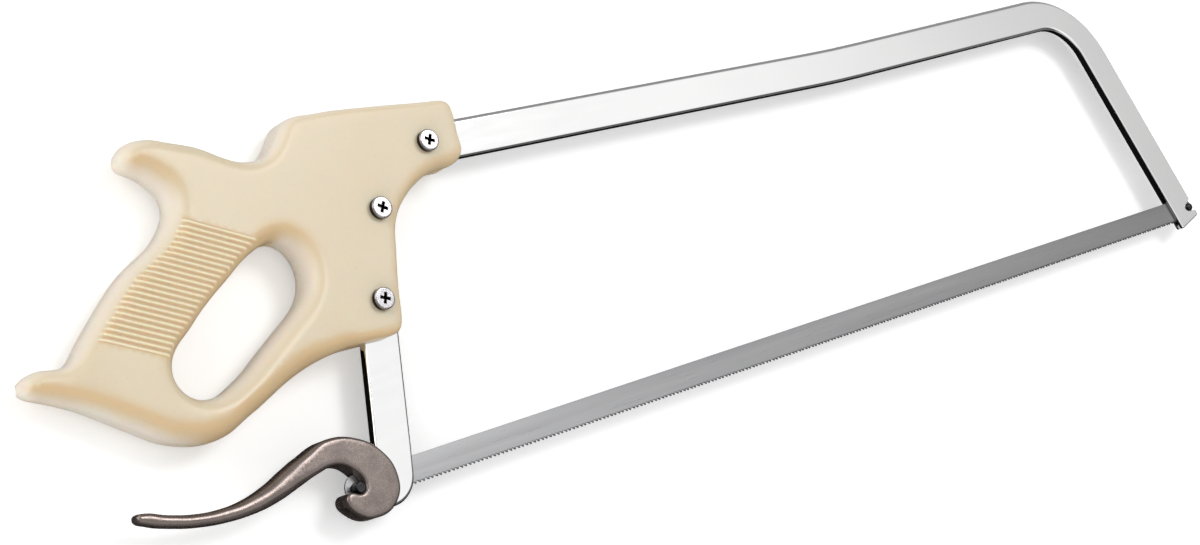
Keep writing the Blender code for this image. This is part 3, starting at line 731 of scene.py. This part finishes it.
leverForm = {
    "thickness": 12.0, "tipThickness": 7.0, "taperStart": 22.0, "taperEnd": 105.0,
    "gridSpacing": 1.3, "rimSpacing": 0.9,
    "outline": [
        (-101.6, 18.6, 2.2), (-90.0, 14.6, 2.5), (-78.5, 11.6, 2.7), (-66.5, 10.4, 2.9), (-54.0, 11.2, 3.5),
        (-42.3, 14.2, 4.3), (-33.0, 17.8, 4.3), (-23.6, 21.0, 3.4), (-8.0, 24.6, 2.0), (5.6, 21.2, 1.7),
        (15.9, 12.9, 1.7), (20.3, 0.5, 1.7), (16.2, -10.4, 1.7), (3.4, -14.8, 1.7), (-7.1, -8.8, 1.7),
        (-9.1, -3.4, 1.5), (-6.4, -0.9, 1.4), (0.2, -2.6, 1.3), (2.6, 0.6, 1.3), (0.2, 7.6, 1.4),
        (-6.8, 12.4, 1.7), (-17.5, 11.4, 2.6), (-28.0, 8.4, 3.8), (-39.0, 5.4, 4.3), (-50.0, 3.9, 3.6),
        (-62.0, 3.9, 3.0), (-76.0, 5.6, 2.7), (-89.0, 8.8, 2.5), (-101.0, 13.3, 2.2), (-105.0, 16.0, 2.0),
        (-104.8, 18.4, 2.0)],
    "armLean": 14.3, "cutReach": 70, "floorSteps": 32, "hookSlitTurn": (165, 300), "hookSlitOuter": 30,
    "swing": 80.0, "release": 4.0, "hookSlitReach": 7.2, "hookSlitWidth": 2.4,
}


def leverHeight(points):
    run = leverForm["taperEnd"] - leverForm["taperStart"]
    share = np.clip((-points[:, 0] - leverForm["taperStart"]) / run, 0, 1)
    return (leverForm["thickness"] + (leverForm["tipThickness"] - leverForm["thickness"]) * share) / 2


def armGroove():
    # the cam floor keeps the same small gap to the rear arm through the whole swing
    lean = math.radians(leverForm["armLean"])
    swing = math.radians(leverForm["swing"])
    reach = -rearPin["x"] * math.cos(lean) - barForm["width"] / 2 - gap
    fall = leverForm["release"] * math.cos(lean) / swing
    x, y, past = rearPin["x"], rearPin["y"], leverForm["cutReach"]
    floor, steps = [], leverForm["floorSteps"]
    for n in range(steps + 1):
        opened = swing * n / steps
        c, s = math.cos(-lean - opened), math.sin(-lean - opened)
        out = reach - fall * opened
        floor.append((x + c * out - s * fall, y + s * out + c * fall))
    up = (math.sin(lean) * past, math.cos(lean) * past)
    lastTurn = -lean - swing
    down = (math.sin(lastTurn) * past, -math.cos(lastTurn) * past)
    first = (floor[0][0] + up[0], floor[0][1] + up[1])
    last = (floor[-1][0] + down[0], floor[-1][1] + down[1])
    beyond = (last[0] - up[0], last[1] - up[1])
    middle = -lean - swing / 2
    far = (x + 2 * past * math.cos(middle), y + 2 * past * math.sin(middle))
    side = (first[0] + past * math.cos(-lean), first[1] + past * math.sin(-lean))
    return [first] + floor + [last, beyond, far, side]


def makeLever():
    rim = smoothLoop(leverForm["outline"], leverForm["rimSpacing"], 6)
    x, y, swing, past = rearPin["x"], rearPin["y"], leverForm["swing"], leverForm["cutReach"]
    lever = pillowSolid("tensionLever", [rim], (x, y), leverForm["gridSpacing"], leverHeight)
    deep = barForm["thickness"] / 2 + slack
    cutAway(lever, plateFrom("armGroove", armGroove(), -deep, deep))
    half = bladeForm["width"] / 2 + slack
    slit = arcPoints(x, y, half, 90, 270 - swing)
    edge = slit[-1]
    turn = math.radians(-swing)
    slit.append((edge[0] + past * math.cos(turn), edge[1] + past * math.sin(turn)))
    slit += arcPoints(x, y, past, -swing, 0) + [(x + past, y + half)]
    deep = bladeForm["thickness"] / 2 + slack
    cutAway(lever, plateFrom("bladeSlit", slit, -deep, deep))
    begin, end = leverForm["hookSlitTurn"]
    split = arcPoints(x, y, leverForm["hookSlitOuter"], begin, end)
    split += arcPoints(x, y, leverForm["hookSlitReach"], end, begin)
    wide = leverForm["hookSlitWidth"] / 2
    cutAway(lever, plateFrom("hookSlit", split, -wide, wide))
    cutAway(lever, roundBar("pinSeat", x, y, pinForm["diameter"] / 2 + gap, -12, 12))
    finishPiece(lever, "lever", "tension_lever", casting, 45)


# blade and pins

def makeBlade():
    half = bladeForm["width"] / 2
    rear = rearPin["x"] + half - bladeForm["endReach"]
    front = frontPin["x"] + bladeForm["endReach"] - half
    outline = arcPoints(rear, 0, half, 90, 270)
    start, pitch = rear + bladeForm["toothlessEnd"], bladeForm["toothPitch"]
    count = int((front - bladeForm["toothlessEnd"] - start) / pitch)
    root = -half + bladeForm["toothDepth"]
    for n in range(count):
        outline += [(start + n * pitch, root), (start + (n + bladeForm["toothLean"]) * pitch, -half)]
    outline.append((start + count * pitch, root))
    outline += arcPoints(front, 0, half, -90, 90)
    deep = bladeForm["thickness"] / 2
    blade = plateFrom("sawBlade", outline, -deep, deep)
    bpy.ops.object.mode_set(mode="EDIT")
    bpy.ops.mesh.select_all(action="SELECT")
    bpy.ops.mesh.bisect(plane_co=sawPoint(0, root + bladeForm["setLine"]), plane_no=(0, 1, 0))
    bpy.ops.object.mode_set(mode="OBJECT")
    tipLine = sawPoint(0, -half).y
    for vertex in blade.data.vertices:
        along = (vertex.co.x - sawOrigin.x) / mm - start
        tooth = round(along / pitch - bladeForm["toothLean"])
        if abs(vertex.co.y - tipLine) < 1e-6 and 0 <= tooth < count:
            vertex.co.z += bladeForm["toothSet"] * mm * (1 if tooth % 2 else -1)
    hole = pinForm["diameter"] / 2 + gap
    for pin in (rearPin, frontPin):
        cutAway(blade, roundBar("pinHole", pin["x"], pin["y"], hole, -3, 3))
    finishPiece(blade, "blade", "saw_blade", steel, 30, True)


def makePins():
    for name, node, pin in (("rear", "blade_pin_rear", rearPin), ("front", "blade_pin_front", frontPin)):
        half = pinForm[name + "Length"] / 2
        piece = roundBar(name + "CrossPin", pin["x"], pin["y"], pinForm["diameter"] / 2, -half, half, 40)
        roundRims(piece, pinForm[name + "Dome"], 6)
        finishPiece(piece, "blade", node, pinSteel, 40, True)


# screws and barrel nuts

screwForm = {
    "places": [(30.7, -1.2), (-6.0, -26.4), (-20.2, -66.4)], "turns": [62, 58, 66],
    "headDiameter": 10.4, "headHeight": 3.0, "headRound": 0.8, "shankDiameter": 3.8, "shankLength": 15.5,
    "crossSpan": 6.2, "crossWidth": 1.8, "crossDepth": 2.3, "crossTaper": 0.62,
    "nutHead": 11.0, "nutHeight": 2.2, "nutBarrel": 6.2, "nutShort": 2.0, "seat": 11.3,
}


def growFace(piece, normal, inset, depth):
    # insets the end face that looks along the normal and extrudes what is left
    makeActive(piece)
    bpy.ops.object.mode_set(mode="EDIT")
    bpy.ops.mesh.select_mode(type="FACE")
    bpy.ops.mesh.select_all(action="DESELECT")
    bpy.ops.object.mode_set(mode="OBJECT")
    faces = [face for face in piece.data.polygons if face.normal.z * normal > 0.99]
    max(faces, key=lambda face: face.center.z * normal).select = True
    bpy.ops.object.mode_set(mode="EDIT")
    bpy.ops.mesh.inset(thickness=inset * mm, depth=0)
    bpy.ops.mesh.extrude_region_move(TRANSFORM_OT_translate={"value": (0, 0, depth * mm * normal)})
    bpy.ops.object.mode_set(mode="OBJECT")


def crossCutter(x, y, turn, face):
    half, width = screwForm["crossSpan"] / 2, screwForm["crossWidth"] / 2
    c, s = math.cos(math.radians(turn)), math.sin(math.radians(turn))
    points = [(-half, -width), (half, -width), (half, width), (-half, width)]
    bar = plateFrom("cross", [(x + a * c - b * s, y + a * s + b * c) for a, b in points],
                    face - screwForm["crossDepth"], face + 1.0)
    makeActive(bar)
    middle = sawPoint(x, y, 0)
    for vertex in bar.data.vertices:
        if vertex.co.z < sawPoint(0, 0, face).z:
            vertex.co.xy = middle.xy + (vertex.co.xy - middle.xy) * screwForm["crossTaper"]
    return bar


def paintRecessShade(screw, x, y, face):
    # painted shade, near black, down in the cross and round the side of the head
    screw.data.materials.append(paintedRecessShade)
    middle = sawPoint(x, y, face)
    span, deep = screwForm["crossSpan"] / 2 * mm, (screwForm["crossDepth"] + 0.1) * mm
    sideTop, sideFoot = screwForm["headRound"] * mm, screwForm["headHeight"] * mm
    for polygon in screw.data.polygons:
        reach = (polygon.center.xy - middle.xy).length
        below = middle.z - polygon.center.z
        inCross = reach < span and 0.1 * mm < below < deep
        onSide = sideTop < below < sideFoot and abs(polygon.normal.z) < 0.2
        if inCross or onSide:
            polygon.material_index = 1


def roundHead(piece, test):
    selectEdges(piece, test)
    bpy.ops.mesh.bevel(offset=screwForm["headRound"] * mm, segments=5, affect="EDGES")
    bpy.ops.object.mode_set(mode="OBJECT")


def makeFasteners():
    cornerX, cornerY = handleForm["corner"]
    seat, head, nutHeight = screwForm["seat"], screwForm["headHeight"], screwForm["nutHeight"]
    screwWide, nutWide = screwForm["headDiameter"], screwForm["nutHead"]
    for n, ((px, py), turn) in enumerate(zip(screwForm["places"], screwForm["turns"]), 1):
        x, y = px + cornerX, py + cornerY
        screw = roundBar("panScrew%d" % n, x, y, screwWide / 2, seat, seat + head, 64)
        roundHead(screw, lambda a, b: min(a.z, b.z) > sawPoint(0, 0, seat + head / 2).z)
        growFace(screw, -1, (screwWide - screwForm["shankDiameter"]) / 2, screwForm["shankLength"])
        cutAway(screw, crossCutter(x, y, turn, seat + head), crossCutter(x, y, turn + 90, seat + head))
        finishPiece(screw, "frame", "handle_screw_%d" % n, screwNickel, 35, True)
        paintRecessShade(screw, x, y, seat + head)
        nut = roundBar("barrelNut%d" % n, x, y, nutWide / 2, -seat - nutHeight, -seat, 64)
        roundHead(nut, lambda a, b: max(a.z, b.z) < sawPoint(0, 0, -seat - nutHeight / 2).z)
        barrel = seat + handleForm["thickness"] / 2 - screwForm["nutShort"]
        growFace(nut, 1, (nutWide - screwForm["nutBarrel"]) / 2, barrel)
        finishPiece(nut, "frame", "barrel_nut_%d" % n, screwNickel, 35, True)


# studio

studio = {
    "cameraPlace": (-556.3, -2.2, 875.2), "cameraTurn": (17.419, -35.419, -23.262), "lens": 69.48,
    "floor": (0.9, 0.9, 0.9, 1), "floorLift": (0.34, 0.45), "floorWash": (0.6, 2.5),
    "worldFill": 0.52, "skyTop": (0.88, 0.97, 0.62),
    # lamps: name, place, size, power, seen in mirrors
    "lamps": [("softKey", (1.0, 0.8, 2.4), 1.0, 24.0, True), ("leftFill", (-1.9, 1.3, 1.0), 1.6, 19.0, True),
              ("lowFill", (-1.7, -1.2, 0.7), 1.2, 10.5, False)],
    "wallRadius": 4.0, "wallHeight": 6.0, "wallLow": 0.38, "wallFade": (1.6, 4.4),
    # panels of other tones on the wall: compass angle, tone, how high they reach
    "panels": [(155, 0.07, 4.2), (209, 0.05, 4.0), (-44, 0.09, 3.6), (-22, 0.12, 2.6),
               (46, 0.26, 3.0), (94, 0.95, 2.0)],
    "panelSides": (0.88, 0.97), "panelFade": 0.8,
    # grey on the card beyond the rail and the front arm, but not past the front foot: axis, ramp, tone
    "cardSize": 2.6,
    "cardGreys": [("Y", 0.062, 0.068, 0.26), ("X", 0.345, 0.37, 0.45), ("Y", -0.1, -0.09, 1.0)],
}


def seenDirectly(tree):
    # 1 for rays from the camera, a mirror or glass
    path = addNode(tree, "ShaderNodeLightPath").outputs
    first = combine(tree, "MAXIMUM", path["Is Camera Ray"], path["Is Glossy Ray"])
    return combine(tree, "MAXIMUM", first, path["Is Transmission Ray"])


def objectAxes(tree):
    place = addNode(tree, "ShaderNodeTexCoord")
    axes = addNode(tree, "ShaderNodeSeparateXYZ")
    tree.links.new(place.outputs["Object"], axes.inputs[0])
    return place.outputs["Object"], axes.outputs


def makeFloor():
    deselectAll()
    bpy.ops.mesh.primitive_plane_add(size=60.0, location=(0, 0, 0))
    floor = bpy.context.object
    floor.name = "paleFloor"
    material, tree, shader = newMaterial("paleFloor", {"Base Color": studio["floor"], "Roughness": 0.9,
                                                       "Specular IOR Level": 0.1})
    glow = addNode(tree, "ShaderNodeEmission")
    away = addNode(tree, "ShaderNodeVectorMath", operation="LENGTH")
    tree.links.new(objectVector(tree), away.inputs[0])
    wash = rampOf(tree, away.outputs["Value"], *studio["floorWash"], *studio["floorLift"])
    tree.links.new(combine(tree, "MULTIPLY", seenDirectly(tree), wash), glow.inputs["Strength"])
    both = addNode(tree, "ShaderNodeAddShader")
    tree.links.new(shader.outputs[0], both.inputs[0])
    tree.links.new(glow.outputs[0], both.inputs[1])
    tree.links.new(both.outputs[0], tree.nodes["Material Output"].inputs["Surface"])
    floor.data.materials.append(material)


def makeCard():
    # a black card on the table that only mirrors see, for the dark lines along the bright bar
    deselectAll()
    bpy.ops.mesh.primitive_plane_add(size=studio["cardSize"], location=(0, 0, 0.0004))
    card = bpy.context.object
    card.name = "blackCard"
    material, tree, shader = newMaterial("blackCard", {
        "Base Color": (0.006, 0.006, 0.006, 1), "Roughness": 1.0,
        "Specular IOR Level": 0.0, "Emission Color": (1, 1, 1, 1)})
    axes = objectAxes(tree)[1]
    rail, arm, foot = [rampOf(tree, axes[axis], low, high, 0.0, top)
                       for axis, low, high, top in studio["cardGreys"]]
    paler = combine(tree, "MAXIMUM", rail, combine(tree, "MULTIPLY", arm, foot))
    tree.links.new(paler, shader.inputs["Emission Strength"])
    card.data.materials.append(material)
    for ray in ("camera", "diffuse", "transmission", "shadow"):
        setattr(card, "visible_" + ray, False)


def makeWall():
    # a grey surround that fades up into the light, for the bright metal to mirror
    deselectAll()
    radius, height = studio["wallRadius"], studio["wallHeight"]
    bpy.ops.mesh.primitive_cylinder_add(vertices=96, radius=radius, depth=height,
                                        end_fill_type="NOTHING", location=(0, 0, height / 2))
    bpy.ops.object.transform_apply(location=True)
    wall = bpy.context.object
    wall.name = "studioWall"
    material, tree, shader = newMaterial("studioWall", {
        "Base Color": (0.02, 0.02, 0.02, 1), "Roughness": 1.0})
    place, axes = objectAxes(tree)
    smooth = "SMOOTHSTEP"
    fade = rampOf(tree, axes["Z"], *studio["wallFade"], studio["wallLow"], 1.0, smooth)
    for compass, tone, top in studio["panels"]:
        angle = math.radians(compass)
        side = addNode(tree, "ShaderNodeVectorMath", operation="DOT_PRODUCT")
        side.inputs[1].default_value = (math.cos(angle) / radius, math.sin(angle) / radius, 0)
        tree.links.new(place, side.inputs[0])
        within = rampOf(tree, side.outputs["Value"], *studio["panelSides"], kind=smooth)
        under = rampOf(tree, axes["Z"], top, top - studio["panelFade"], kind=smooth)
        panel = addNode(tree, "ShaderNodeMix", {3: tone}, data_type="FLOAT")
        tree.links.new(combine(tree, "MULTIPLY", within, under), panel.inputs[0])
        tree.links.new(fade, panel.inputs[2])
        fade = panel.outputs[0]
    shader.inputs["Emission Color"].default_value = (1, 1, 1, 1)
    tree.links.new(fade, shader.inputs["Emission Strength"])
    wall.data.materials.append(material)
    for ray in ("camera", "diffuse", "shadow"):
        setattr(wall, "visible_" + ray, False)


def makeLight():
    world = bpy.data.worlds.new("studioWorld")
    bpy.context.scene.world = world
    world.use_nodes = True
    tree = world.node_tree
    sky = tree.nodes["Background"]
    sky.inputs["Color"].default_value = (1, 1, 1, 1)
    level = rampOf(tree, seenDirectly(tree), 0.0, 1.0, studio["worldFill"], 1.0)
    # mirrors see a greyer sky straight above
    low, high, tone = studio["skyTop"]
    axes = addNode(tree, "ShaderNodeSeparateXYZ")
    tree.links.new(addNode(tree, "ShaderNodeTexCoord").outputs["Generated"], axes.inputs[0])
    top = rampOf(tree, axes.outputs["Z"], low, high, 1.0, tone)
    tree.links.new(top, level.node.inputs["To Max"])
    tree.links.new(level, sky.inputs["Strength"])
    for name, spot, size, power, mirrored in studio["lamps"]:
        deselectAll()
        bpy.ops.object.light_add(type="AREA", location=spot)
        lamp = bpy.context.object
        lamp.name = name
        lamp.rotation_euler = Vector(spot).to_track_quat("Z", "Y").to_euler()
        lamp.data.size = size
        lamp.data.energy = power
        lamp.visible_glossy = mirrored


def makeCamera():
    deselectAll()
    bpy.ops.object.camera_add(location=sawPoint(*studio["cameraPlace"]),
                              rotation=[math.radians(a) for a in studio["cameraTurn"]])
    camera = bpy.context.object
    camera.data.lens = studio["lens"]
    camera.data.sensor_width = 36.0
    camera.data.sensor_fit = "HORIZONTAL"
    bpy.context.scene.camera = camera
    bpy.context.scene.view_settings.view_transform = "Standard"


makeFrameBar()
makeHandle()
makeLever()
makeBlade()
makePins()
makeFasteners()
print("pieces ready")
makeFloor()
makeCard()
makeWall()
makeLight()
makeCamera()
print("studio ready")
